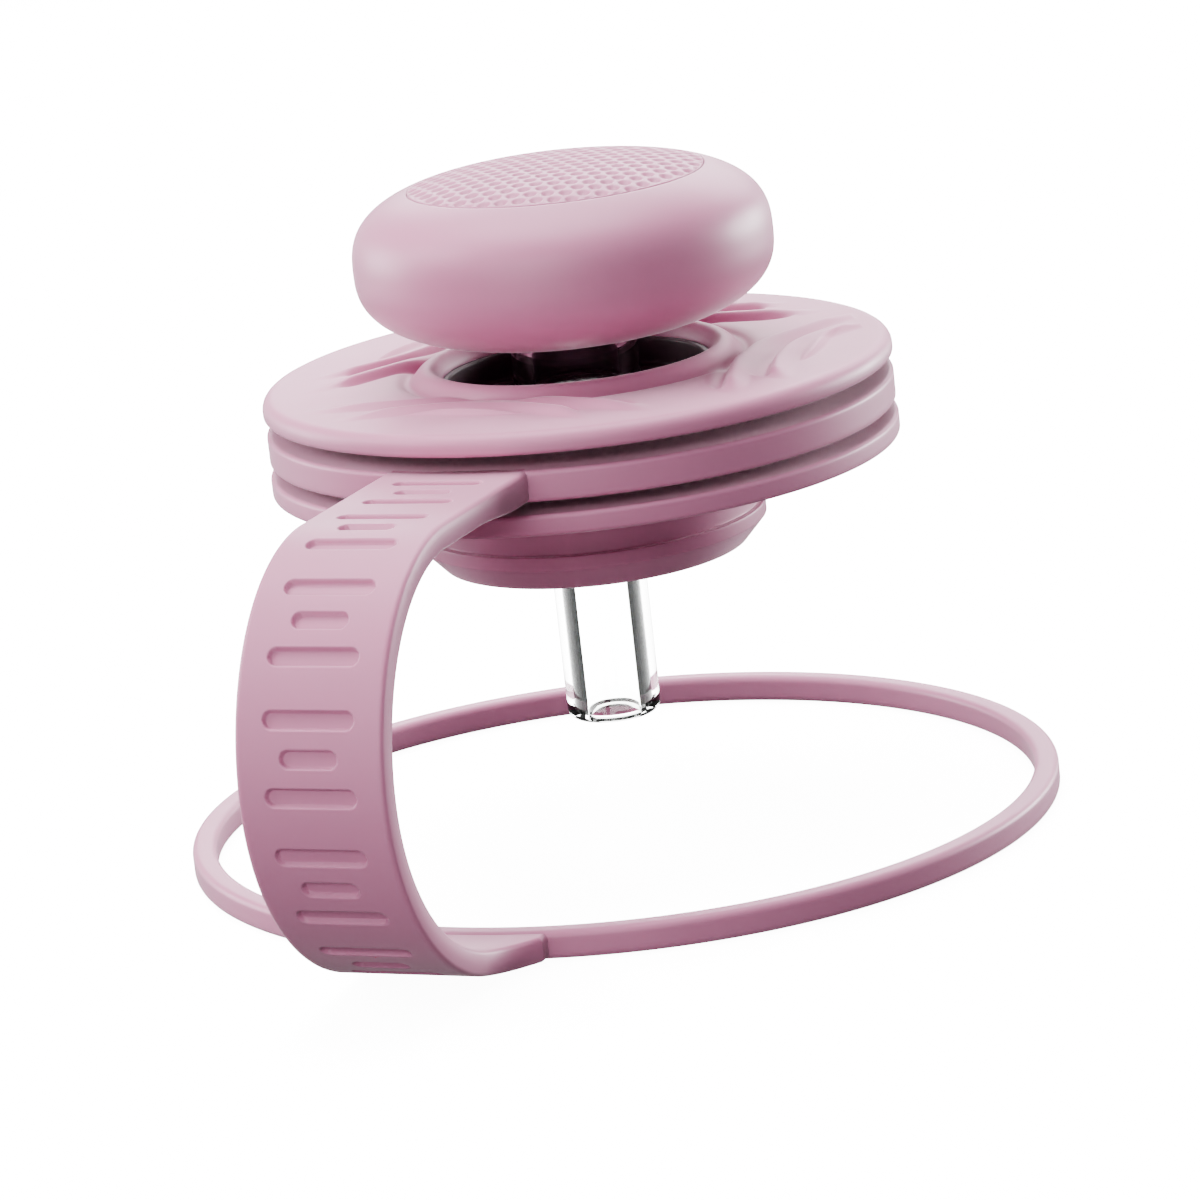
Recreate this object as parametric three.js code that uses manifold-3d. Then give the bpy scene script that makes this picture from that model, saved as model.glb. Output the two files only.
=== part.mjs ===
// Tethered joystick cap: a loop that grips the host's body, a C-shaped strap, a collar, and a
// two-disc plug cap whose centre carries a glass air stem under a soft pebble knob.
// Millimetres, +Z up. The loop stands on z = 0 and the strap runs out towards -Y.
import * as THREE from 'three';
import { mergeVertices } from 'three/addons/utils/BufferGeometryUtils.js';
import Module from 'manifold-3d';

// ---------------------------------------------------------------- driving dimensions
const GAP = 0.3; // left between neighbouring pieces

const LOOP = { outer: 36, inner: 34, height: 2.3, edge: 0.5 };
const STRAP = {
  width: 12.2, thickness: 2, edge: 0.4,
  midZ: 18.5, // height of the strap's outermost point, where it bends
  reach: 54.4, // from the loop's axis to the strap's middle surface there
  shoulder: 40, // where the upper quarter curve meets the straight run to the collar
  footWidth: 16.2, footLength: 6,
  bendHalf: 2.5, // half height of the stretch that does the bending
};
const COLLAR = { outer: 25.6, inner: 14.8, low: 33.6, high: 36.1, edge: 0.35 };
const TOP_DISC = { outer: 25.7, low: 37.4, high: 39.1, lipRadius: 12.5, lipHeight: 0.8, mouth: 10.4 };
const FLANGE = { outer: 25.7, low: 30.9, high: 32.6 };
const HUB = { outer: 14.4, high: 35, rimHigh: 36.3 };
const PLUG = { neck: 13.7, barb: 14.2, tip: 12.4, bore: 9.3, low: 23.2, chamferHigh: 25.2, barbHigh: 26.3 };
const PIVOT_Z = 33; // the stem tilts about this point on the axis, where the boot's two folds meet
const BOOT = { wall: 0.9, midRadius: 7.4, sleeveRadius: 5.2, sleeveLow: 27.6, sleeveHigh: 30.6 };
const STEM = {
  radius: 3.85, bore: 2.15, low: 9.3, lip: 0.6,
  shoulderLow: 34.4, shoulderHigh: 35.7,
  headRadius: 5.2, headBore: 3.5, headHigh: 48, headWall: 1.6,
  portRadius: 2, portZ: 40.6, portAngle: 35,
};
const KNOB = {
  radius: 17.1, middleZ: 48.3,
  rise: 7.1, riseRoundness: 2.8, // above the middle
  drop: 6.9, dropRoundness: 2.64, // below the middle
  padRadius: 12, padThickness: 1.3,
};
const CORE = { outer: 8.6, low: 43.2, high: 50, crown: 48.4 };

const SEGMENTS = { loop: 72, disc: 60, knob: 48, boot: 32 };

// The box of the whole object is centred on the origin, so the loop's axis stands off it.
const AXIS_Y = (STRAP.reach + STRAP.thickness / 2 - LOOP.outer) / 2;

// ---------------------------------------------------------------- materials
const silicone = new THREE.MeshStandardMaterial({ color: 0xcf9ab4, roughness: 0.55, metalness: 0 });
const siliconeDark = new THREE.MeshStandardMaterial({ color: 0xb98299, roughness: 0.6, metalness: 0 });
const glass = new THREE.MeshStandardMaterial({
  color: 0xeef3f4, roughness: 0.05, metalness: 0, transparent: true, opacity: 0.35,
});
const socketPlastic = new THREE.MeshStandardMaterial({ color: 0x6e4658, roughness: 0.5, metalness: 0 });

// ---------------------------------------------------------------- shape helpers
const point = (radius, height) => new THREE.Vector2(radius, height);

// An arc of a quarter turn from one profile point to another, bulging towards the corner point.
function corner(from, peak, to, steps = 2) {
  const curve = new THREE.QuadraticBezierCurve(from, peak, to);
  return curve.getPoints(steps);
}

// A profile around an axis, listed anticlockwise with radius to the right and height upwards.
function revolve(profile, segments) {
  const onAxis = profile[0].x === 0 && profile[profile.length - 1].x === 0;
  const loop = onAxis ? profile : [...profile, profile[0].clone()];
  return new THREE.LatheGeometry(loop, segments).rotateX(Math.PI / 2);
}

// The section of a flat ring with all four edges rounded.
function roundedBand(inner, outer, low, high, edge) {
  return [
    ...corner(point(inner, low + edge), point(inner, low), point(inner + edge, low)),
    ...corner(point(outer - edge, low), point(outer, low), point(outer, low + edge)),
    ...corner(point(outer, high - edge), point(outer, high), point(outer - edge, high)),
    ...corner(point(inner + edge, high), point(inner, high), point(inner, high - edge)),
  ];
}

// A closed solid through a row of sections that have the same number of points. Each end is
// closed by strips across the section, from a point on one wide face to the one opposite.
function loft(sections) {
  const count = sections[0].length;
  const positions = sections.flat().flatMap((p) => [p.x, p.y, p.z]);
  const indices = [];
  for (let row = 0; row + 1 < sections.length; row += 1) {
    for (let i = 0; i < count; i += 1) {
      const a = row * count + i;
      const b = row * count + ((i + 1) % count);
      indices.push(a, b, b + count, a, b + count, a + count);
    }
  }
  const last = (sections.length - 1) * count;
  for (let i = 0; i < count / 2 - 1; i += 1) {
    const a = (i + count - 1) % count;
    const b = i;
    const c = count - 3 - i;
    const d = count - 2 - i;
    indices.push(a, c, b, a, d, c);
    indices.push(last + a, last + b, last + c, last + a, last + c, last + d);
  }
  const geometry = new THREE.BufferGeometry();
  geometry.setAttribute('position', new THREE.Float32BufferAttribute(positions, 3));
  geometry.setIndex(indices);
  return geometry;
}

const wasm = await Module();
wasm.setup();

function toSolid(geometry) {
  const bare = geometry.clone();
  bare.deleteAttribute('normal');
  bare.deleteAttribute('uv');
  const merged = mergeVertices(bare, 1e-4);
  return new wasm.Manifold(new wasm.Mesh({
    numProp: 3,
    vertProperties: new Float32Array(merged.attributes.position.array),
    triVerts: new Uint32Array(merged.index.array),
  }));
}

function toGeometry(solid) {
  const mesh = solid.getMesh();
  const geometry = new THREE.BufferGeometry();
  geometry.setAttribute('position', new THREE.BufferAttribute(mesh.vertProperties, 3));
  geometry.setIndex(new THREE.BufferAttribute(mesh.triVerts, 1));
  return geometry;
}

// ---------------------------------------------------------------- the assembly
const assembly = new THREE.Group();
assembly.position.y = AXIS_Y;

function add(name, geometry, material) {
  const mesh = new THREE.Mesh(geometry, material);
  mesh.name = name;
  assembly.add(mesh);
}

// ---------------------------------------------------------------- the tether
add('device_ring', revolve(roundedBand(LOOP.inner, LOOP.outer, 0, LOOP.height, LOOP.edge),
  SEGMENTS.loop), silicone);
add('cap_collar', revolve(roundedBand(COLLAR.inner, COLLAR.outer, COLLAR.low, COLLAR.high, COLLAR.edge),
  SEGMENTS.disc), silicone);

// The strap's middle line, as distance from the loop's axis and height: two quarter ellipses
// that meet at its outermost point, then a straight run in to the collar.
const FOOT_Z = LOOP.height / 2;
const ARM_Z = COLLAR.high - STRAP.thickness / 2;

function lowerMidline(angle) {
  return {
    out: LOOP.outer + (STRAP.reach - LOOP.outer) * Math.cos(angle),
    up: STRAP.midZ - (STRAP.midZ - FOOT_Z) * Math.sin(angle),
    normal: point((STRAP.midZ - FOOT_Z) * Math.cos(angle), -(STRAP.reach - LOOP.outer) * Math.sin(angle)),
  };
}

function upperMidline(angle) {
  return {
    out: STRAP.shoulder + (STRAP.reach - STRAP.shoulder) * Math.cos(angle),
    up: STRAP.midZ + (ARM_Z - STRAP.midZ) * Math.sin(angle),
    normal: point((ARM_Z - STRAP.midZ) * Math.cos(angle), (STRAP.reach - STRAP.shoulder) * Math.sin(angle)),
  };
}

// One section across the strap: across its width, and outwards along the midline's normal.
function strapSection(mid, width, reachAt = () => mid.out) {
  const half = width / 2;
  const t = STRAP.thickness / 2;
  const e = STRAP.edge;
  const normal = mid.normal.clone().normalize();
  const lanes = [-half + e, -half / 2, 0, half / 2, half - e];
  const outline = [
    ...lanes.map((x) => [x, t]), [half, t - e], [half, e - t],
    ...lanes.toReversed().map((x) => [x, -t]), [-half, e - t], [-half, t - e],
  ];
  return outline.map(([x, n]) => new THREE.Vector3(x, -(reachAt(x) + normal.x * n), mid.up + normal.y * n));
}

// How wide the lower strap is this far from the loop's axis: it flares into a foot at the loop.
function footWidthAt(out) {
  const near = THREE.MathUtils.clamp(1 - (out - LOOP.outer) / STRAP.footLength, 0, 1);
  return STRAP.width + (STRAP.footWidth - STRAP.width) * near * near;
}

// Sections end to end between two angles, in equal steps.
function sweep(midline, from, to, steps, widthAt = () => STRAP.width) {
  return Array.from({ length: steps + 1 }, (_, i) => {
    const mid = midline(from + ((to - from) * i) / steps);
    return strapSection(mid, widthAt(mid.out));
  });
}

// The end of the strap that meets a round part: it follows that part's wall.
function endAgainst(radius, height, width) {
  const mid = { out: radius, up: height, normal: point(0, height > STRAP.midZ ? 1 : -1) };
  return strapSection(mid, width, (x) => Math.sqrt((radius + GAP) ** 2 - x ** 2));
}

const quarter = Math.PI / 2;
const lowerAngle = (drop) => Math.asin(drop / (STRAP.midZ - FOOT_Z));
const upperAngle = (rise) => Math.asin(rise / (ARM_Z - STRAP.midZ));
// The last full section stands this far off the loop's wall.
const FOOT_STANDOFF = 1.2;
const footAngle = Math.acos(FOOT_STANDOFF / (STRAP.reach - LOOP.outer));

add('strap_lower', loft([
  endAgainst(LOOP.outer, FOOT_Z, STRAP.footWidth),
  ...sweep(lowerMidline, footAngle, lowerAngle(STRAP.bendHalf + GAP), 10, footWidthAt),
]), silicone);
add('strap_bend', loft([
  ...sweep(lowerMidline, lowerAngle(STRAP.bendHalf), 0, 2),
  ...sweep(upperMidline, 0, upperAngle(STRAP.bendHalf), 2).slice(1),
]), silicone);
add('strap_upper', loft([
  ...sweep(upperMidline, upperAngle(STRAP.bendHalf + GAP), quarter, 9),
  endAgainst(COLLAR.outer, ARM_Z, STRAP.width),
]), silicone);

// ---------------------------------------------------------------- the cap
const lipOuter = TOP_DISC.lipRadius + 1.7;
add('top_disc', revolve([
  point(TOP_DISC.mouth, HUB.rimHigh + GAP),
  point(HUB.outer, HUB.rimHigh + GAP),
  point(HUB.outer, TOP_DISC.low),
  ...corner(point(TOP_DISC.outer - 0.3, TOP_DISC.low), point(TOP_DISC.outer, TOP_DISC.low),
    point(TOP_DISC.outer, TOP_DISC.low + 0.3)),
  ...corner(point(TOP_DISC.outer, TOP_DISC.high - 1.1), point(TOP_DISC.outer, TOP_DISC.high),
    point(TOP_DISC.outer - 1.1, TOP_DISC.high), 4),
  point(lipOuter, TOP_DISC.high),
  point(TOP_DISC.lipRadius, TOP_DISC.high + TOP_DISC.lipHeight),
  point(TOP_DISC.mouth + 0.7, TOP_DISC.high + TOP_DISC.lipHeight * 0.6),
  point(TOP_DISC.mouth, TOP_DISC.high - 0.4),
], SEGMENTS.disc), silicone);

add('cap_base', revolve([
  point(PLUG.bore, PLUG.low),
  point(PLUG.tip, PLUG.low),
  point(PLUG.barb, PLUG.chamferHigh),
  point(PLUG.barb, PLUG.barbHigh),
  point(PLUG.neck, PLUG.barbHigh),
  point(PLUG.neck, FLANGE.low),
  point(FLANGE.outer - 0.3, FLANGE.low),
  point(FLANGE.outer, FLANGE.low + 0.3),
  point(FLANGE.outer, FLANGE.high - 0.3),
  point(FLANGE.outer - 0.3, FLANGE.high),
  point(HUB.outer, FLANGE.high),
  point(HUB.outer, HUB.high),
  point(PLUG.bore, HUB.high),
], SEGMENTS.disc), silicone);

// ---------------------------------------------------------------- the boot that lets the stem tilt
const rimInner = PLUG.bore;
add('boot_rim', revolve([
  point(rimInner, HUB.high + GAP),
  point(HUB.outer, HUB.high + GAP),
  point(HUB.outer, HUB.rimHigh),
  point(rimInner, HUB.rimHigh),
], SEGMENTS.boot), siliconeDark);

// Two funnels, one below the other: the outer one takes one tilt and the inner one the other.
function funnel(outer, high, inner, low) {
  const w = BOOT.wall;
  return [
    point(inner, low), point(inner + w, low),
    point(outer, high - w), point(outer, high), point(outer - w, high),
  ];
}
add('boot_outer_fold', revolve(funnel(rimInner - GAP, HUB.rimHigh, BOOT.midRadius, PIVOT_Z + GAP),
  SEGMENTS.boot), siliconeDark);
add('boot_inner_fold', revolve(funnel(BOOT.midRadius + BOOT.wall / 2, PIVOT_Z, STEM.radius + GAP,
  BOOT.sleeveHigh + GAP), SEGMENTS.boot), siliconeDark);
add('boot_sleeve', revolve([
  point(STEM.radius + GAP, BOOT.sleeveLow),
  point(BOOT.sleeveRadius, BOOT.sleeveLow),
  point(BOOT.sleeveRadius, BOOT.sleeveHigh),
  point(STEM.radius + GAP, BOOT.sleeveHigh),
], SEGMENTS.boot), siliconeDark);

// ---------------------------------------------------------------- the glass stem
const stemBody = revolve([
  point(0, STEM.headHigh - STEM.headWall),
  point(STEM.headBore, STEM.headHigh - STEM.headWall),
  point(STEM.headBore, STEM.shoulderHigh + 0.8),
  point(STEM.bore, STEM.shoulderLow + 0.8),
  point(STEM.bore, STEM.low + STEM.lip),
  ...corner(point(STEM.bore, STEM.low + STEM.lip), point(STEM.bore, STEM.low),
    point(STEM.bore + STEM.lip, STEM.low)).slice(1),
  ...corner(point(STEM.radius - STEM.lip, STEM.low), point(STEM.radius, STEM.low),
    point(STEM.radius, STEM.low + STEM.lip)),
  point(STEM.radius, STEM.shoulderLow),
  point(STEM.headRadius, STEM.shoulderHigh),
  ...corner(point(STEM.headRadius, STEM.headHigh - 0.8), point(STEM.headRadius, STEM.headHigh),
    point(STEM.headRadius - 0.8, STEM.headHigh)),
  point(0, STEM.headHigh),
], SEGMENTS.boot);
const portCutter = new THREE.CylinderGeometry(STEM.portRadius, STEM.portRadius, STEM.headRadius + 2, 20)
  .translate(0, -(STEM.headRadius + 2) / 2, 0)
  .rotateZ(THREE.MathUtils.degToRad(STEM.portAngle))
  .translate(0, 0, STEM.portZ);
add('glass_stem', toGeometry(toSolid(stemBody).subtract(toSolid(portCutter))), glass);

// ---------------------------------------------------------------- the knob
// The knob's outside is a superellipse in section, rounder above its middle than below.
function knobHeight(radius, side) {
  const [size, roundness] = side > 0 ? [KNOB.rise, KNOB.riseRoundness] : [-KNOB.drop, KNOB.dropRoundness];
  return KNOB.middleZ + size * (1 - (radius / KNOB.radius) ** roundness) ** (1 / roundness);
}

// Points down the knob's outside from one radius on top to another underneath.
function knobSide(fromRadius, toRadius, steps) {
  const start = Math.asin(fromRadius / KNOB.radius);
  const end = Math.PI - Math.asin(toRadius / KNOB.radius);
  return Array.from({ length: steps + 1 }, (_, i) => {
    const turn = start + ((end - start) * i) / steps;
    const radius = KNOB.radius * Math.sin(turn);
    return point(radius, knobHeight(radius, quarter - turn));
  });
}

const stemHole = STEM.headRadius + GAP;
const padFloor = knobHeight(KNOB.padRadius, 1) - KNOB.padThickness;
add('knob_shell', revolve([
  point(0, CORE.high + GAP),
  point(CORE.outer + GAP, CORE.high + GAP),
  point(CORE.outer + GAP, CORE.low - GAP),
  point(stemHole, CORE.low - GAP),
  ...knobSide(KNOB.padRadius + GAP, stemHole, 14).reverse(),
  point(KNOB.padRadius + GAP, padFloor),
  point(0, padFloor),
], SEGMENTS.knob), silicone);

const padTop = [1, 0.75, 0.5, 0.25, 0].map((share) => {
  const radius = KNOB.padRadius * share;
  return point(radius, knobHeight(radius, 1));
});
add('knob_pad', revolve([
  point(0, padFloor + GAP), point(KNOB.padRadius, padFloor + GAP), ...padTop,
], SEGMENTS.knob), silicone);

add('knob_core', revolve([
  point(0, CORE.crown),
  point(stemHole, CORE.crown),
  point(stemHole, CORE.low),
  point(CORE.outer, CORE.low),
  point(CORE.outer, CORE.high),
  point(0, CORE.high),
], SEGMENTS.boot), socketPlastic);

export default assembly;
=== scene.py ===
"""Tethered joystick cap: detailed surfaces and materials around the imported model.

Shapes are worked out in millimetres around the loop's axis and placed in the row frame in metres.
"""

import math

import bpy
import numpy as np
from mathutils import Matrix, Vector


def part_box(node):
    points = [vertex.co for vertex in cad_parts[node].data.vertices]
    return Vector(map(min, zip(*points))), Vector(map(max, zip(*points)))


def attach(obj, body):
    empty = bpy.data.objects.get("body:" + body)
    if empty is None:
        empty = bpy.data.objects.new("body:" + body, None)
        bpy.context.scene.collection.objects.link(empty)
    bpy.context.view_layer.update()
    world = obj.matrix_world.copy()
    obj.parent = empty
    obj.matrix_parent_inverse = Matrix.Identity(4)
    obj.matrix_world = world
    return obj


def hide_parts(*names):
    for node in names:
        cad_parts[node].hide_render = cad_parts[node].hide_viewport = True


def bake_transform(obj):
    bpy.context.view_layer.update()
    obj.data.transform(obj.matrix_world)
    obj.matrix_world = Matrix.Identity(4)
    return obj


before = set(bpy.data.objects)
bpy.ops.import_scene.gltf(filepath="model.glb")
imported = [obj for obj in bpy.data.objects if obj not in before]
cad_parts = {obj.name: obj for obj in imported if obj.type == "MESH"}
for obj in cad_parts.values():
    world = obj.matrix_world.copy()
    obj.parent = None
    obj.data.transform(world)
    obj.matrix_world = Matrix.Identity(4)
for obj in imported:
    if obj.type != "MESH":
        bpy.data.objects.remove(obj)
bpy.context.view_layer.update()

MM = 0.001

# ---------------------------------------------------------------- driving sizes, in millimetres


def node_box(node):
    """Lowest and highest corner of a CAD node, in millimetres."""
    return [[value / MM for value in corner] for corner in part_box(node)]


LOOP_LOW, LOOP_HIGH = node_box("device_ring")
DISC_LOW, DISC_HIGH = node_box("top_disc")
BASE_LOW, BASE_HIGH = node_box("cap_base")
COLLAR_LOW, COLLAR_HIGH = node_box("cap_collar")
BEND_LOW, BEND_HIGH = node_box("strap_bend")
STEM_LOW, STEM_HIGH = node_box("glass_stem")
SLEEVE_LOW, SLEEVE_HIGH = node_box("boot_sleeve")
KNOB_HIGH = node_box("knob_shell")[1]
PAD_HIGH = node_box("knob_pad")[1]

AXIS_Y = (LOOP_LOW[1] + LOOP_HIGH[1]) / 2  # the loop, the cap and the stem share this axis

LOOP_OUTER = LOOP_HIGH[0]
LOOP_HEIGHT = LOOP_HIGH[2]
LOOP_WIDTH = 2.0
LOOP_EDGE = 0.55

COLLAR_OUTER = COLLAR_HIGH[0]
COLLAR_INNER = 14.8
COLLAR_BASE, COLLAR_TOP = COLLAR_LOW[2], COLLAR_HIGH[2]

STRAP_WIDTH = BEND_HIGH[0] - BEND_LOW[0]
STRAP_THICKNESS = 2.0
STRAP_EDGE = 0.45
STRAP_BEND_Z = (BEND_LOW[2] + BEND_HIGH[2]) / 2
STRAP_REACH = AXIS_Y - BEND_LOW[1] - STRAP_THICKNESS / 2
STRAP_SHOULDER = 40.0
FOOT_WIDTH, FOOT_LENGTH = 16.2, 6.0

DISC_OUTER = DISC_HIGH[0]
DISC_BASE, DISC_TOP = 37.4, 39.1
BOSS_RADIUS, BOSS_BASE = 14.4, DISC_LOW[2]
WAVE_GRID_RADIUS = 23.5  # the fine grid that carries the relief ends here
MOUTH_RADIUS = 10.4
LINER_OUTER, LINER_TOP = 11.0, 38.6  # the boot's rim turns up to line the mouth, in the near-black that paints the mouth's shade
LIP_RADIUS, LIP_HEIGHT = 12.0, DISC_HIGH[2] - DISC_TOP

FLANGE_BASE, FLANGE_TOP = 30.9, 32.6
HUB_RADIUS, HUB_TOP = 14.4, BASE_HIGH[2]
NECK_RADIUS, BARB_RADIUS, TIP_RADIUS, PLUG_BORE = 13.7, 14.2, 12.4, 9.3
PLUG_BASE, CHAMFER_TOP, BARB_TOP = BASE_LOW[2], 25.2, 26.3

STEM_RADIUS, STEM_BORE = 3.85, 2.15
HEAD_RADIUS, HEAD_BORE = STEM_HIGH[0], 3.5
SHOULDER_LOW, SHOULDER_HIGH = 34.4, 35.7
STEM_TIP, STEM_TOP = STEM_LOW[2], STEM_HIGH[2]
PORT_RADIUS, PORT_Z, PORT_ANGLE = 2.0, 40.6, 35.0

KNOB_RADIUS = KNOB_HIGH[0]
KNOB_MIDDLE = 48.3
KNOB_RISE, KNOB_RISE_POWER = 7.1, 2.8
KNOB_DROP, KNOB_DROP_POWER = 6.9, 2.64
PAD_RADIUS, PAD_THICKNESS = PAD_HIGH[0], 1.3

PIVOT_Z = 33.0  # the stem tilts about this height

# ---------------------------------------------------------------- camera

CAMERA_AZIMUTH = math.radians(24.4)
CAMERA_ELEVATION = math.radians(14.35)
CAMERA_ROLL = math.radians(6.42)
CAMERA_DISTANCE = 450.0
CAMERA_TARGET_Z = 18.9
CAMERA_LENS = 164.4
CAMERA_SHIFT = 0.2  # the aim is this far to the left of the axis


def make_camera():
    """The photograph's viewpoint: long lens, slightly above, rolled so the object leans."""
    across = Vector((math.cos(CAMERA_AZIMUTH), math.sin(CAMERA_AZIMUTH), 0))
    back = Vector((
        math.sin(CAMERA_AZIMUTH) * math.cos(CAMERA_ELEVATION),
        -math.cos(CAMERA_AZIMUTH) * math.cos(CAMERA_ELEVATION),
        math.sin(CAMERA_ELEVATION),
    ))
    above = back.cross(across)
    right = across * math.cos(CAMERA_ROLL) - above * math.sin(CAMERA_ROLL)
    up = across * math.sin(CAMERA_ROLL) + above * math.cos(CAMERA_ROLL)
    target = Vector((0, AXIS_Y, CAMERA_TARGET_Z)) * MM - across * CAMERA_SHIFT * MM
    place = target + back * CAMERA_DISTANCE * MM
    data = bpy.data.cameras.new("camera")
    data.sensor_width = 36
    data.lens = CAMERA_LENS
    data.clip_start, data.clip_end = 0.01, 20
    camera = bpy.data.objects.new("camera", data)
    bpy.context.scene.collection.objects.link(camera)
    turn = Matrix((right, up, back)).transposed().to_4x4()
    camera.matrix_world = Matrix.Translation(place) @ turn
    bpy.context.scene.camera = camera


make_camera()

# ---------------------------------------------------------------- mesh helpers


def make_piece(name, points, faces, material, smooth=True):
    """A mesh object from points in millimetres around the loop's axis."""
    mesh = bpy.data.meshes.new(name)
    points = np.asarray(points, float) * MM + np.array([0, AXIS_Y * MM, 0])
    mesh.from_pydata(points.tolist(), [], [list(map(int, face)) for face in faces])
    mesh.polygons.foreach_set("use_smooth", [smooth] * len(mesh.polygons))
    mesh.materials.append(material)
    mesh.update()
    piece = bpy.data.objects.new(name, mesh)
    bpy.context.scene.collection.objects.link(piece)
    return piece


def rounded(corners, steps=6):
    """A closed outline with its corners rounded: each corner is (radius, height, rounding)."""
    outline = []
    count = len(corners)
    for i, (x, z, rounding) in enumerate(corners):
        here = np.array([x, z], float)
        if rounding == 0:
            outline.append(here)
            continue
        before = np.array(corners[i - 1][:2], float) - here
        after = np.array(corners[(i + 1) % count][:2], float) - here
        before /= np.linalg.norm(before)
        after /= np.linalg.norm(after)
        half = math.acos(np.clip(before @ after, -1, 1)) / 2
        setback = rounding / math.tan(half)
        middle = before + after
        centre = here + middle / np.linalg.norm(middle) * rounding / math.sin(half)
        start, end = here + before * setback - centre, here + after * setback - centre
        sweep = math.pi - 2 * half
        for step in range(steps + 1):
            share = step / steps
            arc = (math.sin((1 - share) * sweep) * start + math.sin(share * sweep) * end) / math.sin(sweep)
            outline.append(centre + arc)
    return outline


def dense(outline, longest, closed=True):
    """The same outline with its long sides divided, so that shading stays true beside an edge."""
    result = []
    count = len(outline)
    for i in range(count if closed else count - 1):
        a, b = np.asarray(outline[i], float), np.asarray(outline[(i + 1) % count], float)
        parts = max(1, math.ceil(np.linalg.norm(b - a) / longest))
        result.extend(a + (b - a) * k / parts for k in range(parts))
    if not closed:
        result.append(np.asarray(outline[-1], float))
    return result


def grid_faces(rows, columns, wrap_rows, wrap_columns, start=0):
    """Quads over a grid of points, row by row."""
    row_count = rows if wrap_rows else rows - 1
    column_count = columns if wrap_columns else columns - 1
    r, c = np.meshgrid(np.arange(row_count), np.arange(column_count), indexing="ij")
    r, c = r.ravel(), c.ravel()
    r2, c2 = (r + 1) % rows, (c + 1) % columns
    quads = np.stack([r * columns + c, r2 * columns + c, r2 * columns + c2, r * columns + c2], 1)
    return (quads + start).tolist()


def turned(outline, segments):
    """Points and faces of a closed outline, listed anticlockwise, turned round the axis."""
    outline = np.asarray(outline, float)
    angles = np.arange(segments) * 2 * math.pi / segments
    radius, height = outline[:, 0], outline[:, 1]
    points = np.stack([
        np.outer(np.cos(angles), radius),
        np.outer(np.sin(angles), radius),
        np.broadcast_to(height, (segments, len(height))),
    ], -1)
    return points.reshape(-1, 3), grid_faces(segments, len(height), True, True)


def turned_to_axis(outline, segments):
    """The same for an outline whose two ends meet the axis, closed by a fan at each end."""
    outline = np.asarray(outline, float)
    points, _ = turned(outline[1:-1], segments)
    columns = len(outline) - 2
    faces = grid_faces(segments, columns, True, False)
    low, high = len(points), len(points) + 1
    points = np.vstack([points, [0, 0, outline[0][1]], [0, 0, outline[-1][1]]])
    for i in range(segments):
        j = (i + 1) % segments
        faces.append([low, j * columns, i * columns])
        faces.append([high, i * columns + columns - 1, j * columns + columns - 1])
    return points, faces


def joined(*parts):
    """Several (points, faces) as one."""
    points, faces, start = [], [], 0
    for part_points, part_faces in parts:
        points.append(part_points)
        faces.extend([[index + start for index in face] for face in part_faces])
        start += len(part_points)
    return np.vstack(points), faces


def smooth_step(value):
    """Eases from 0 to 1 as the value goes from 0 to 1."""
    value = np.clip(value, 0, 1)
    return value * value * (3 - 2 * value)


# ---------------------------------------------------------------- materials


def new_material(name):
    """A material with its node tree, its links and its main shader."""
    material = bpy.data.materials.new(name)
    material.use_nodes = True
    tree = material.node_tree
    return material, tree.nodes, tree.links, tree.nodes["Principled BSDF"]


def object_noise(nodes, links, scale, detail=2.0):
    """Noise in object space, so that it is the same from every side."""
    place = nodes.new("ShaderNodeTexCoord")
    noise = nodes.new("ShaderNodeTexNoise")
    noise.inputs["Scale"].default_value = scale
    noise.inputs["Detail"].default_value = detail
    links.new(place.outputs["Object"], noise.inputs["Vector"])
    return noise.outputs["Fac"]


def spread(nodes, links, source, low, high):
    """Maps a 0..1 value to low..high."""
    node = nodes.new("ShaderNodeMapRange")
    node.inputs["To Min"].default_value = low
    node.inputs["To Max"].default_value = high
    links.new(source, node.inputs["Value"])
    return node.outputs["Result"]


TONE_SWING = 0.035  # share by which the colour drifts either way
ROUGHNESS_SWING = 0.05
GLASS_IOR, GLASS_SPECULAR = 1.474, 0.12
GLASS_TINT = (0.985, 0.995, 0.99, 1)
# painted dark reflection, worn by the bore's wall where it would mirror inside the glass
BORE_PAINTED_REFLECTION = (0.007, 0.0075, 0.0075, 1)


def silicone(name, colour, roughness, grain=0.06, sheen=0.35):
    """Moulded silicone: a soft gloss, a faint bead-blast grain and slow changes of tone."""
    material, nodes, links, shader = new_material(name)
    tone = nodes.new("ShaderNodeMix")
    tone.data_type = "RGBA"
    tone.inputs["A"].default_value = (*[c * (1 - TONE_SWING) for c in colour], 1)
    tone.inputs["B"].default_value = (*[min(1, c * (1 + TONE_SWING)) for c in colour], 1)
    links.new(object_noise(nodes, links, 90, 3), tone.inputs["Factor"])
    links.new(tone.outputs["Result"], shader.inputs["Base Color"])
    drift = object_noise(nodes, links, 260, 3)
    gloss = spread(nodes, links, drift, roughness - ROUGHNESS_SWING, roughness + ROUGHNESS_SWING)
    links.new(gloss, shader.inputs["Roughness"])
    bump = nodes.new("ShaderNodeBump")
    bump.inputs["Strength"].default_value = grain
    bump.inputs["Distance"].default_value = 0.00004
    links.new(object_noise(nodes, links, 9000, 2), bump.inputs["Height"])
    links.new(bump.outputs["Normal"], shader.inputs["Normal"])
    shader.inputs["IOR"].default_value = 1.42
    shader.inputs["Sheen Weight"].default_value = sheen
    shader.inputs["Sheen Roughness"].default_value = 0.4
    shader.inputs["Sheen Tint"].default_value = (1.0, 0.9, 0.95, 1)
    shader.inputs["Subsurface Weight"].default_value = 0.12
    shader.inputs["Subsurface Radius"].default_value = (1.0, 0.45, 0.6)
    shader.inputs["Subsurface Scale"].default_value = 0.0012
    return material


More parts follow.
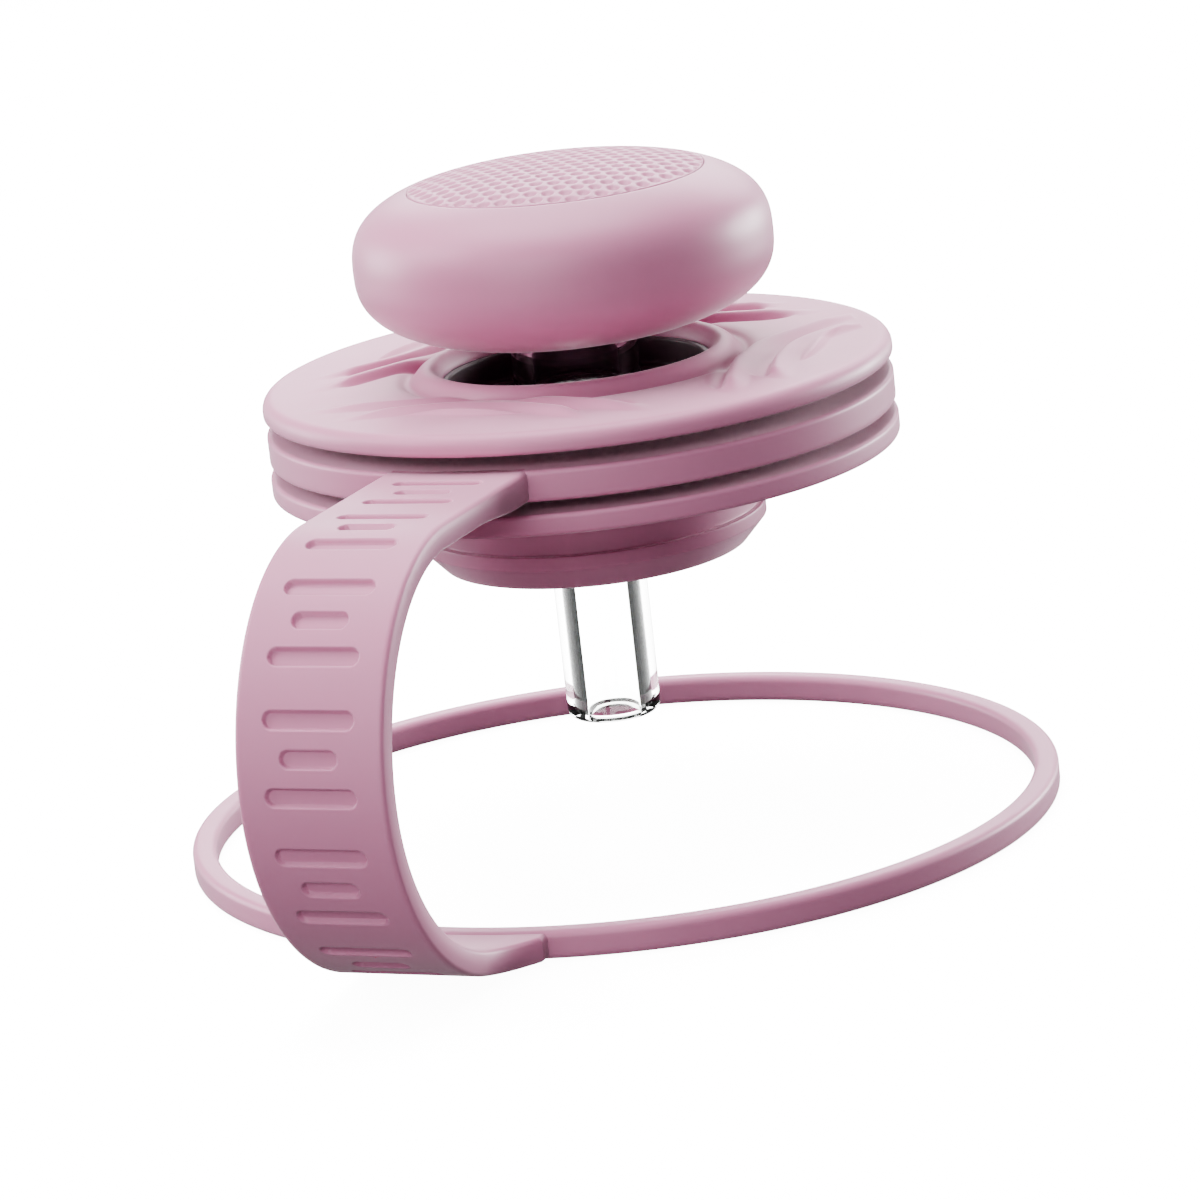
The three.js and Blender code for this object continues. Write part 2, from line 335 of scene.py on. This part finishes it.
def clear_glass(name):
    """Fire-polished borosilicate, with a trace of unevenness in its gloss."""
    material, nodes, links, shader = new_material(name)
    shader.inputs["Base Color"].default_value = GLASS_TINT
    shader.inputs["Transmission Weight"].default_value = 1.0
    shader.inputs["IOR"].default_value = GLASS_IOR
    shader.inputs["Specular IOR Level"].default_value = GLASS_SPECULAR
    links.new(
        spread(nodes, links, object_noise(nodes, links, 150, 2), 0.0, 0.012), shader.inputs["Roughness"]
    )
    return material


def glass_bore(name):
    """The wall of a glass bore, with a painted dark reflection where it would mirror inside the glass, as
    thick tubing looks.
    """
    material, nodes, links, shader = new_material(name)
    facing = nodes.new("ShaderNodeLayerWeight")
    facing.inputs["Blend"].default_value = 0.5
    side = nodes.new("ShaderNodeNewGeometry")
    mirror = nodes.new("ShaderNodeMath")
    mirror.operation = "GREATER_THAN"
    mirror.inputs[1].default_value = 1 - math.sqrt(1 - 1 / GLASS_IOR**2)  # the critical angle
    links.new(facing.outputs["Facing"], mirror.inputs[0])
    dark = nodes.new("ShaderNodeMath")
    dark.operation = "MULTIPLY"
    links.new(mirror.outputs["Value"], dark.inputs[0])
    links.new(side.outputs["Backfacing"], dark.inputs[1])
    # painted reflection: past the critical angle, seen from inside, the wall turns near-black and stops
    # letting light through
    tone = nodes.new("ShaderNodeMix")
    tone.data_type = "RGBA"
    tone.inputs["A"].default_value = GLASS_TINT
    tone.inputs["B"].default_value = BORE_PAINTED_REFLECTION
    links.new(dark.outputs["Value"], tone.inputs["Factor"])
    links.new(tone.outputs["Result"], shader.inputs["Base Color"])
    clear = nodes.new("ShaderNodeMath")
    clear.operation = "SUBTRACT"
    clear.inputs[0].default_value = 1.0
    links.new(dark.outputs["Value"], clear.inputs[1])
    links.new(clear.outputs["Value"], shader.inputs["Transmission Weight"])
    shader.inputs["Roughness"].default_value = 0.0
    shader.inputs["IOR"].default_value = GLASS_IOR
    shader.inputs["Specular IOR Level"].default_value = GLASS_SPECULAR
    return material


MAUVE = (0.50, 0.205, 0.325)
# near-black plum: painted shade for the boot, the lining of the mouth and the knob's socket
PLUM_PAINTED_SHADE = (0.05, 0.012, 0.028)
tether_material = silicone("tether_silicone", MAUVE, 0.46)
cap_material = silicone("cap_silicone", MAUVE, 0.48)
knob_material = silicone("knob_silicone", MAUVE, 0.44)
pad_material = silicone("pad_silicone", MAUVE, 0.42)
boot_painted_shade_material = silicone("boot_silicone", PLUM_PAINTED_SHADE, 0.5, sheen=0.05)
glass_material = clear_glass("borosilicate")
bore_painted_reflection_material = glass_bore("borosilicate_bore_painted_reflection")

# ---------------------------------------------------------------- the tether

FOOT_Z = LOOP_HEIGHT / 2
ARM_Z = COLLAR_TOP - STRAP_THICKNESS / 2
LOOP_BITE = 0.9  # how far the strap's foot runs into the loop
COLLAR_BITE = 0.9
COLLAR_EDGE = 0.35

MARK_DEPTH = 0.45
MARK_WIDTH = 1.25
MARK_WALL = 0.11
MARK_LENGTHS = (7.4, 4.6, 7.4)
MARK_PITCH = 2.75
MARK_GROUPS = 6
MARK_FIRST, MARK_LAST = 12.5, 62.5  # distance along the strap of the first and last group


def strap_path(step):
    """Evenly spaced (distance out, height, outward normal) from the loop to the collar."""
    lower = np.linspace(math.pi / 2, 0, 400)
    upper = np.linspace(0, math.pi / 2, 400)[1:]
    out = np.concatenate([
        [LOOP_OUTER - LOOP_BITE],
        LOOP_OUTER + (STRAP_REACH - LOOP_OUTER) * np.cos(lower),
        STRAP_SHOULDER + (STRAP_REACH - STRAP_SHOULDER) * np.cos(upper),
        [COLLAR_OUTER - COLLAR_BITE],
    ])
    up = np.concatenate([
        [FOOT_Z],
        STRAP_BEND_Z - (STRAP_BEND_Z - FOOT_Z) * np.sin(lower),
        STRAP_BEND_Z + (ARM_Z - STRAP_BEND_Z) * np.sin(upper),
        [ARM_Z],
    ])
    length = np.concatenate([[0], np.cumsum(np.hypot(np.diff(out), np.diff(up)))])
    along = np.linspace(0, length[-1], int(length[-1] / step) + 1)
    out, up = np.interp(along, length, out), np.interp(along, length, up)
    d_out, d_up = np.gradient(out, along), np.gradient(up, along)
    size = np.hypot(d_out, d_up)
    return along, out, up, d_up / size, -d_out / size


def mark_depth(along, across):
    """How deep the sunk grip marks are at a point of the strap's outer face."""
    depth = np.zeros(np.broadcast(along, across).shape)
    for group in np.linspace(MARK_FIRST, MARK_LAST, MARK_GROUPS):
        for offset, length in zip((-MARK_PITCH, 0, MARK_PITCH), MARK_LENGTHS):
            half = (length - MARK_WIDTH) / 2
            side = np.maximum(np.abs(across) - half, 0)
            away = np.hypot(side, along - group - offset) - MARK_WIDTH / 2
            depth = np.maximum(depth, MARK_DEPTH * smooth_step(0.5 - away / MARK_WALL))
    return depth


def strap_mesh():
    """The strap, with rounded edges, a flared foot and sunk marks on its outer face."""
    step = 0.09
    along, out, up, normal_out, normal_up = strap_path(step)
    total = along[-1]
    near_foot = np.clip(1 - (out - LOOP_OUTER) / FOOT_LENGTH, 0, 1) * (along < total / 2)
    half = (STRAP_WIDTH + (FOOT_WIDTH - STRAP_WIDTH) * near_foot**2) / 2
    deepen = 0.5 * smooth_step((along - (total - 9)) / 7)  # the strap thickens below at the collar
    lanes = np.linspace(-1, 1, int(STRAP_WIDTH / step))
    edge = np.linspace(0, math.pi, 11)[1:-1]
    radius = STRAP_THICKNESS / 2

    def row(x_share, x_fixed, n_share):
        """One lengthwise line of points: across the strap, and out from its middle surface."""
        x = x_share * (half - STRAP_EDGE) + x_fixed
        outward = n_share * radius
        if n_share < 0:
            outward = outward + n_share * deepen
        sink = mark_depth(along, x) if n_share == 1 and abs(x_share) < 1 else 0
        n = outward - sink
        return np.stack([x, -(out + normal_out * n), up + normal_up * n], -1)

    rows = [row(share, 0, 1) for share in lanes]
    rows += [row(1, STRAP_EDGE * math.sin(a), edge_height(a)) for a in edge]
    rows += [row(share, 0, -1) for share in np.linspace(1, -1, 9)]
    rows += [row(-1, -STRAP_EDGE * math.sin(a), -edge_height(a)) for a in edge]
    points = np.stack(rows, 1)  # along, round
    count = points.shape[1]
    end = points.shape[0] - 1

    # each end follows the round wall that it runs into
    for index, wall in ((0, LOOP_OUTER - LOOP_BITE), (end, COLLAR_OUTER - COLLAR_BITE)):
        points[index, :, 1] = -np.sqrt(wall**2 - points[index, :, 0] ** 2)
    faces = grid_faces(end + 1, count, False, True)
    for index, flip in ((0, False), (end, True)):
        ring = [index * count + k for k in range(count)]
        faces.append(ring if flip else ring[::-1])
    return points.reshape(-1, 3), [face[::-1] for face in faces]


def edge_height(angle):
    """From the outer face (1) round the strap's edge to the inner face (-1)."""
    flat = 1 - STRAP_EDGE / (STRAP_THICKNESS / 2)
    turn = math.cos(angle)
    if abs(turn) < 1e-6:
        return 0
    return turn * (1 - flat) + math.copysign(flat, turn)


def band(inner, outer, low, high, edge, segments):
    """A flat ring with rounded edges."""
    corners = ((inner, low), (outer, low), (outer, high), (inner, high))
    outline = rounded([(radius, height, edge) for radius, height in corners])
    return turned(dense(outline, 0.4), segments)


def make_tether():
    """The loop, the strap and the collar as one moulding that bends in the strap."""
    loop = band(LOOP_OUTER - LOOP_WIDTH, LOOP_OUTER, 0, LOOP_HEIGHT, LOOP_EDGE, 360)
    collar = band(COLLAR_INNER, COLLAR_OUTER, COLLAR_BASE, COLLAR_TOP, COLLAR_EDGE, 256)
    tether = make_piece("tether", *joined(loop, collar, strap_mesh()), tether_material)
    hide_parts("device_ring", "strap_lower", "strap_bend", "strap_upper", "cap_collar")
    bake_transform(tether)


make_tether()

# ---------------------------------------------------------------- the cap

WAVE_HEIGHT, GROOVE_DEPTH = 0.5, 0.42
GROOVE_WIDTH = 0.5
RIDGE_CREST, RIDGE_FOOT = 0.8, 2.7  # from a groove out to its ridge's crest and foot
WAVE_BOW = 2.4  # above 2 the arcs turn more sharply near their ends
LIP_VALLEY = 13.7
# A groove is (start, end, radius at the start, in the middle, at the end); a leaf is the same with
# an inner and an outer middle. Angles are degrees either side of the set's own direction.
LOW_WAVES = (((-28.7, 28.7, 20.7, 15.0, 19.2), (-41.6, 41.9, 21.4, 12.9, 19.4)),
             (-17.8, 13.8, 19.8, 16.9, 18.9, 18.3))
HIGH_WAVES = (((-26.4, 23.0, 20.2, 17.1, 22.5), (-40.0, 34.0, 19.9, 13.8, 23.3)),
              (-11.3, 18.0, 20.3, 18.7, 20.9, 21.9))
WAVE_SETS = ((-3.6, LOW_WAVES), (96.4, HIGH_WAVES), (177.4, HIGH_WAVES), (255.0, LOW_WAVES))


def bowed(side, start, end, first, middle, last):
    """Radius of an arc that bows in towards the axis, its place from -1 to 1, and its slant."""
    centre, half = (start + end) / 2, (end - start) / 2
    place = (np.degrees(side) - centre) / half
    tips = first + (last - first) * (place + 1) / 2
    slope = WAVE_BOW * (tips - middle) * np.sign(place) * np.abs(place) ** (WAVE_BOW - 1)
    return middle + (tips - middle) * np.abs(place) ** WAVE_BOW, place, slope / math.radians(half)


def wave_groove(radius, side, groove):
    """One groove: its inner bank is short, and its ridge falls away slowly outwards."""
    arc, place, slope = bowed(side, *groove)
    across = (radius - arc) / np.sqrt(1 + (slope / radius) ** 2)
    opening = 0.8 - 0.25 * np.clip(place, -1, 1)  # deeper and wider towards its starting end
    cut = np.exp(-(across / (GROOVE_WIDTH * (0.6 + 0.6 * opening))) ** 2)
    fall = (RIDGE_FOOT - across) / (RIDGE_FOOT - RIDGE_CREST)
    ridge = smooth_step(across / RIDGE_CREST) * smooth_step(fall)
    cut_end = smooth_step((1 - np.abs(place)) / 0.1)
    ridge_end = smooth_step((1.04 - np.abs(place)) / 0.25)
    return WAVE_HEIGHT * ridge * ridge_end - GROOVE_DEPTH * opening * cut * cut_end


def wave_leaf(radius, side, leaf):
    """The leaf in the middle of a set: it swells outwards and stops at a crisp edge."""
    start, end, first, inner, outer, last = leaf
    low, place, _ = bowed(side, start, end, first, inner, last)
    high, _, _ = bowed(side, start, end, first, outer, last)
    across = (radius - low) / np.maximum(high - low, 0.05)
    swell = smooth_step(across / 0.7) * smooth_step((1 - across) / 0.35)
    return WAVE_HEIGHT * np.where(np.abs(place) < 1, swell * np.clip(1 - place**2, 0, 1), 0)


def wave_relief(radius, angle):
    """Height of the four sets of nested arcs pressed into the top disc."""
    height = np.zeros(np.broadcast(radius, angle).shape)
    for direction, (grooves, leaf) in WAVE_SETS:
        side = (angle - math.radians(direction) + math.pi) % (2 * math.pi) - math.pi
        for groove in grooves:
            height += wave_groove(radius, side, groove)
        height += wave_leaf(radius, side, leaf)
    return height * smooth_step((radius - 12.8) / 1.2)


def lip_profile(radius):
    """The lip: a crest that falls away slowly outside, with a valley round its foot."""
    outside = np.clip((radius - LIP_RADIUS) / 2.2, 0, 1)
    inside = np.clip((LIP_RADIUS - radius) / (LIP_RADIUS - LINER_OUTER), 0, 1)
    crest = LIP_HEIGHT * np.where(radius > LIP_RADIUS, 1 - smooth_step(outside), 1 - 1.5 * inside**2)
    valley = 0.5 * np.exp(-((radius - LIP_VALLEY) / 0.7) ** 2)
    return crest - valley


def make_top_disc():
    """The upper disc: outline turned round the axis, with a fine grid on top for the waves."""
    segments = 1080
    step = 0.1
    lower = rounded([
        (LINER_OUTER, BOSS_BASE, 0.2), (BOSS_RADIUS, BOSS_BASE, 0.2), (BOSS_RADIUS, DISC_BASE, 0),
        (DISC_OUTER, DISC_BASE, 0.35), (DISC_OUTER, DISC_TOP, 1.05), (WAVE_GRID_RADIUS, DISC_TOP, 0),
    ])
    side = dense(lower, 0.5, closed=False)
    top_radius = np.arange(WAVE_GRID_RADIUS - step, LINER_OUTER + step / 2, -step)
    mouth = np.array([[LINER_OUTER, LINER_TOP], [LINER_OUTER, BOSS_BASE + 0.4]])
    outline = np.vstack([side, np.stack([top_radius, np.full_like(top_radius, DISC_TOP)], 1), mouth])
    points, faces = turned(outline, segments)
    grid = points.reshape(segments, -1, 3)
    first, last = len(side), len(side) + len(top_radius)
    top = grid[:, first:last]
    radius = np.hypot(top[..., 0], top[..., 1])
    angle = np.arctan2(top[..., 0], -top[..., 1])
    top[..., 2] += wave_relief(radius, angle) + lip_profile(radius)
    disc = make_piece("wave_disc", points, faces, cap_material)
    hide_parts("top_disc")
    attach(disc, "cap")


def make_base():
    """The lower disc, its hub, and the hollow barbed plug."""
    outline = rounded([
        (PLUG_BORE, PLUG_BASE, 0.5), (TIP_RADIUS, PLUG_BASE, 0.6), (BARB_RADIUS, CHAMFER_TOP, 0.15),
        (BARB_RADIUS, BARB_TOP, 0.15), (NECK_RADIUS, BARB_TOP, 0.1), (NECK_RADIUS, FLANGE_BASE, 0.3),
        (DISC_OUTER, FLANGE_BASE, 0.35), (DISC_OUTER, FLANGE_TOP, 0.35), (HUB_RADIUS, FLANGE_TOP, 0.2),
        (HUB_RADIUS, HUB_TOP, 0.2), (PLUG_BORE, HUB_TOP, 0.2),
    ])
    base = make_piece("cap_body", *turned(dense(outline, 0.4), 256), cap_material)
    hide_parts("cap_base")
    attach(base, "cap")


make_top_disc()
make_base()

# ---------------------------------------------------------------- the boot

BOOT_WALL = 0.8
RIM_TOP = 36.3
FOLD_MIDDLE = 7.4
SLEEVE_BORE = STEM_RADIUS + 0.12


def fold(outer, high, inner, low):
    """A thin funnel with a soft S in its wall."""
    share = np.linspace(0, 1, 24)
    radius = outer + (inner - outer) * share
    height = high + (low - high) * smooth_step(share) - 0.25 * np.sin(2 * math.pi * share)
    above = np.stack([radius, height], 1)
    below = np.stack([radius, height - BOOT_WALL], 1)
    return np.vstack([above, below[::-1]])


def make_boot():
    """The moulding inside the cap, coloured near-black as painted shade: clamped rim, two soft folds, and
    the sleeve on the stem.
    """
    # the rim's upturn lines the mouth's wall, and its near-black there is painted shade
    rim_outline = rounded([
        (PLUG_BORE - 0.3, HUB_TOP + 0.3, 0.15), (HUB_RADIUS, HUB_TOP + 0.3, 0.15),
        (HUB_RADIUS, RIM_TOP, 0.15), (LINER_OUTER - 0.02, RIM_TOP, 0.0),
        (LINER_OUTER - 0.02, LINER_TOP, 0.15), (MOUTH_RADIUS, LINER_TOP, 0.2),
        (MOUTH_RADIUS, RIM_TOP, 0.3), (PLUG_BORE - 0.3, RIM_TOP, 0.15),
    ])
    rim = make_piece("boot_clamp_rim", *turned(dense(rim_outline, 0.5), 128), boot_painted_shade_material)
    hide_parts("boot_rim")
    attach(rim, "cap")

    upper = make_piece("boot_upper_fold", *turned(
        fold(PLUG_BORE - 0.2, RIM_TOP - 0.2, FOLD_MIDDLE, PIVOT_Z + 0.7), 128), boot_painted_shade_material)
    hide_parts("boot_outer_fold")
    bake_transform(upper)

    lower = make_piece("boot_lower_fold", *turned(
        fold(FOLD_MIDDLE + 0.1, PIVOT_Z + 0.6, SLEEVE_BORE, SLEEVE_HIGH[2] + 0.2), 128), boot_painted_shade_material)
    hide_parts("boot_inner_fold")
    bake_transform(lower)

    sleeve_outline = rounded([
        (SLEEVE_BORE, SLEEVE_LOW[2], 0.2), (SLEEVE_HIGH[0], SLEEVE_LOW[2], 0.3),
        (SLEEVE_HIGH[0], SLEEVE_HIGH[2], 0.2), (SLEEVE_BORE, SLEEVE_HIGH[2], 0.2),
    ])
    sleeve = make_piece("boot_grip_sleeve", *turned(dense(sleeve_outline, 0.5), 96), boot_painted_shade_material)
    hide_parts("boot_sleeve")
    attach(sleeve, "sleeve")


make_boot()

# ---------------------------------------------------------------- the glass stem


def cut_port(stem):
    """Bores the side air port through the head's wall."""
    sides = 48
    angles = np.arange(sides) * 2 * math.pi / sides
    outer, inner = HEAD_RADIUS + 1, HEAD_BORE * 0.3
    ring = np.stack([PORT_RADIUS * np.cos(angles), np.zeros(sides), PORT_RADIUS * np.sin(angles)], 1)
    points = np.vstack([ring + [0, -inner, 0], ring + [0, -outer, 0]])
    turn = math.radians(PORT_ANGLE)
    spin = np.array([[math.cos(turn), -math.sin(turn), 0], [math.sin(turn), math.cos(turn), 0], [0, 0, 1]])
    points = points @ spin.T + [0, 0, PORT_Z]
    ends = [list(range(sides)), list(range(2 * sides - 1, sides - 1, -1))]
    faces = grid_faces(2, sides, False, True) + ends
    cutter = make_piece("port_cutter", points, faces, glass_material)
    cut = stem.modifiers.new("port", "BOOLEAN")
    cut.operation = "DIFFERENCE"
    cut.object = cutter
    cut.solver = "EXACT"
    graph = bpy.context.evaluated_depsgraph_get()
    result = bpy.data.meshes.new_from_object(stem.evaluated_get(graph))
    stem.modifiers.clear()
    stem.data = result
    bpy.data.objects.remove(cutter)


def mark_bore(stem):
    """Gives the straight wall of the narrow bore the glass with the painted dark reflection."""
    stem.data.materials.append(bore_painted_reflection_material)
    for face in stem.data.polygons:
        x, y, z = (face.center - Vector((0, AXIS_Y * MM, 0))) / MM
        if math.hypot(x, y) < STEM_BORE + 0.02 and STEM_TIP + 0.6 < z < SHOULDER_LOW:
            face.material_index = 1


def make_stem():
    """The glass tube: fire-polished tip, narrow bore, and a wider closed head."""
    lip = 0.85
    outline = rounded([
        (0, STEM_TOP - 1.6, 0), (HEAD_BORE, STEM_TOP - 1.6, 0.9), (HEAD_BORE, SHOULDER_HIGH + 0.8, 0.6),
        (STEM_BORE, SHOULDER_LOW + 0.8, 0.6), (STEM_BORE, STEM_TIP, lip * 0.6),
        (STEM_RADIUS, STEM_TIP, lip), (STEM_RADIUS, SHOULDER_LOW, 0.8),
        (HEAD_RADIUS, SHOULDER_HIGH, 0.7), (HEAD_RADIUS, STEM_TOP, 0.8), (0, STEM_TOP, 0),
    ], steps=8)
    outline = dense(outline, 1.2, closed=False)
    points, faces = turned_to_axis(outline, 96)
    stem = make_piece("glass_air_stem", points, faces, glass_material)
    cut_port(stem)
    mark_bore(stem)
    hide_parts("glass_stem")
    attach(stem, "stick")


make_stem()

# ---------------------------------------------------------------- the knob

DIMPLE_PITCH = 1.43
DIMPLE_RADIUS = 0.58
DIMPLE_DEPTH = 0.3
DIMPLE_TURN = math.radians(12)
SOCKET_RADIUS, SOCKET_BASE, SOCKET_ROOF, SOCKET_TOP = 8.6, 43.2, 48.4, 50.0


def knob_height(radius, above=True):
    """Height of the pebble's skin, above or below its widest line."""
    size, power = (KNOB_RISE, KNOB_RISE_POWER) if above else (-KNOB_DROP, KNOB_DROP_POWER)
    return KNOB_MIDDLE + size * (1 - np.clip(radius / KNOB_RADIUS, 0, 1) ** power) ** (1 / power)


def knob_side(from_radius, to_radius, steps):
    """Points over the pebble from one radius on top to another underneath."""
    first, last = math.asin(from_radius / KNOB_RADIUS), math.pi - math.asin(to_radius / KNOB_RADIUS)
    turn = np.linspace(first, last, steps)
    radius = KNOB_RADIUS * np.sin(turn)
    height = np.where(turn <= math.pi / 2, knob_height(radius), knob_height(radius, False))
    return np.stack([radius, height], 1)


def dimples(x, y):
    """Depth of small round dimples packed in a honeycomb."""
    turn_x = x * math.cos(DIMPLE_TURN) + y * math.sin(DIMPLE_TURN)
    turn_y = y * math.cos(DIMPLE_TURN) - x * math.sin(DIMPLE_TURN)
    row_gap = DIMPLE_PITCH * math.sqrt(3)
    nearest = np.full(np.shape(x), 1e9)
    for shift in (0, 0.5):
        u = turn_x / DIMPLE_PITCH + shift
        v = turn_y / row_gap + shift
        away = np.hypot((u - np.round(u)) * DIMPLE_PITCH, (v - np.round(v)) * row_gap)
        nearest = np.minimum(nearest, away)
    return DIMPLE_DEPTH * np.clip(1 - (nearest / DIMPLE_RADIUS) ** 2, 0, 1)


def make_knob():
    """The soft pebble, the dimpled pad let into its top, and the socket on the glass head."""
    hole = HEAD_RADIUS + 0.15
    recess = knob_height(PAD_RADIUS) - PAD_THICKNESS
    side = knob_side(PAD_RADIUS + 0.16, hole + 0.5, 160)[::-1]
    outline = np.vstack([
        [[hole, 47.0], [hole, 43.0], [hole, knob_height(hole, False) + 0.5],
         [hole + 0.15, knob_height(hole, False) + 0.12]],
        side,
        [[PAD_RADIUS + 0.06, side[-1][1] - 0.05], [PAD_RADIUS + 0.05, recess], [PAD_RADIUS - 3, recess],
         [PAD_RADIUS - 3, 47.0]],
    ])
    shell = make_piece("pebble_shell", *turned(outline, 256), knob_material)
    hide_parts("knob_shell")

    rings = 130
    segments = 720
    top_radius = PAD_RADIUS * np.linspace(1, 0, rings)
    edge = 0.18
    outline = np.vstack([
        [[0, recess + 0.1], [PAD_RADIUS - 0.5, recess + 0.1], [PAD_RADIUS, recess + 0.4]],
        [[PAD_RADIUS, knob_height(PAD_RADIUS) - edge]],
        np.stack([top_radius, knob_height(top_radius)], 1)[:-1],
        [[0, knob_height(0.0)]],
    ])
    points, faces = turned_to_axis(outline, segments)
    radius = np.hypot(points[:, 0], points[:, 1])
    on_top = points[:, 2] > knob_height(PAD_RADIUS) - edge / 2
    fade = smooth_step((PAD_RADIUS - radius) / 0.2)
    points[:, 2] -= np.where(on_top, dimples(points[:, 0], points[:, 1]) * fade, 0)
    pad = make_piece("dimpled_pad", points, faces, pad_material)
    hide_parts("knob_pad")

    core_outline = rounded([
        (0, SOCKET_ROOF, 0), (HEAD_RADIUS + 0.2, SOCKET_ROOF, 0.3), (HEAD_RADIUS + 0.2, SOCKET_BASE, 0.2),
        (SOCKET_RADIUS, SOCKET_BASE, 0.3), (SOCKET_RADIUS, SOCKET_TOP, 0.4), (0, SOCKET_TOP, 0),
    ])
    # the socket is near-black too: painted shade, seen through the glass head
    core = make_piece("knob_socket", *turned_to_axis(core_outline, 96), boot_painted_shade_material)
    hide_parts("knob_core")
    for piece in (shell, pad, core):
        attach(piece, "stick")


make_knob()

# ---------------------------------------------------------------- floor and light


def make_floor():
    """A plain white glowing floor, hidden from diffuse and glossy rays so it doesn't light the part."""
    mesh = bpy.data.meshes.new("floor")
    half = 6.0
    level = -0.0001
    mesh.from_pydata(
        [(-half, -half, level), (half, -half, level), (half, half, level), (-half, half, level)],
        [], [(0, 1, 2, 3)],
    )
    material, nodes, links, shader = new_material("floor")
    shader.inputs["Base Color"].default_value = (0.92, 0.92, 0.92, 1)
    shader.inputs["Roughness"].default_value = 0.9
    shader.inputs["Specular IOR Level"].default_value = 0.0
    shader.inputs["Emission Color"].default_value = (1, 1, 1, 1)
    shader.inputs["Emission Strength"].default_value = 6.0
    mesh.materials.append(material)
    floor = bpy.data.objects.new("floor", mesh)
    bpy.context.scene.collection.objects.link(floor)
    floor.visible_diffuse = False
    floor.visible_glossy = False


def make_light(name, place, aim, size, power):
    """A soft rectangular light; places in millimetres around the loop's axis."""
    data = bpy.data.lights.new(name, "AREA")
    data.shape = "RECTANGLE"
    data.size, data.size_y = size[0] * MM, size[1] * MM
    data.energy = power
    light = bpy.data.objects.new(name, data)
    shift = Vector((0, AXIS_Y, 0))
    start, end = (Vector(place) + shift) * MM, (Vector(aim) + shift) * MM
    turn = (start - end).to_track_quat("Z", "Y").to_matrix().to_4x4()
    light.matrix_world = Matrix.Translation(start) @ turn
    bpy.context.scene.collection.objects.link(light)


WORLD_BELOW, WORLD_ABOVE = 0.24, 0.3
WORLD_BETWEEN = ((0.40, 0.22), (0.49, 0.06), (0.55, 0.03), (0.75, 0.09))  # share of the way up, level


def make_world():
    """A studio that is pale above and below and darker at the horizon."""
    world = bpy.data.worlds.new("studio")
    world.use_nodes = True
    nodes, links = world.node_tree.nodes, world.node_tree.links
    direction = nodes.new("ShaderNodeTexCoord")
    split = nodes.new("ShaderNodeSeparateXYZ")
    links.new(direction.outputs["Generated"], split.inputs["Vector"])
    height = nodes.new("ShaderNodeMapRange")
    height.inputs["From Min"].default_value = -1.0
    links.new(split.outputs["Z"], height.inputs["Value"])
    ramp = nodes.new("ShaderNodeValToRGB")
    stops = ramp.color_ramp.elements
    stops[0].color = (*[WORLD_BELOW] * 3, 1)
    stops[1].color = (*[WORLD_ABOVE] * 3, 1)
    for position, level in WORLD_BETWEEN:
        stops.new(position).color = (level, level, level, 1)
    links.new(height.outputs["Result"], ramp.inputs["Fac"])
    links.new(ramp.outputs["Color"], nodes["Background"].inputs["Color"])
    bpy.context.scene.world = world
    bpy.context.scene.view_settings.view_transform = "AgX"
    bpy.context.scene.view_settings.look = "AgX - Medium High Contrast"


# name, place, aim, width and height in millimetres, and power in watts
LIGHTS = (
    ("overhead", (-60, 60, 520), (0, 0, 20), (420, 420), 4.1),
    ("front_high", (20, -460, 270), (0, 0, 25), (420, 110), 1.1),
    ("front_low", (20, -530, 60), (0, 0, 25), (420, 110), 0.85),
    ("back", (-120, 540, 330), (0, 0, 30), (600, 260), 3.2),
    ("left", (-460, 0, 110), (0, 0, 30), (200, 200), 1.9),
    ("upper_left", (-360, -200, 360), (0, 0, 20), (240, 240), 1.5),
    ("right", (275, 385, 70), (0, 0, 30), (220, 130), 3.4),
)

make_floor()
for light_values in LIGHTS:
    make_light(*light_values)
make_world()
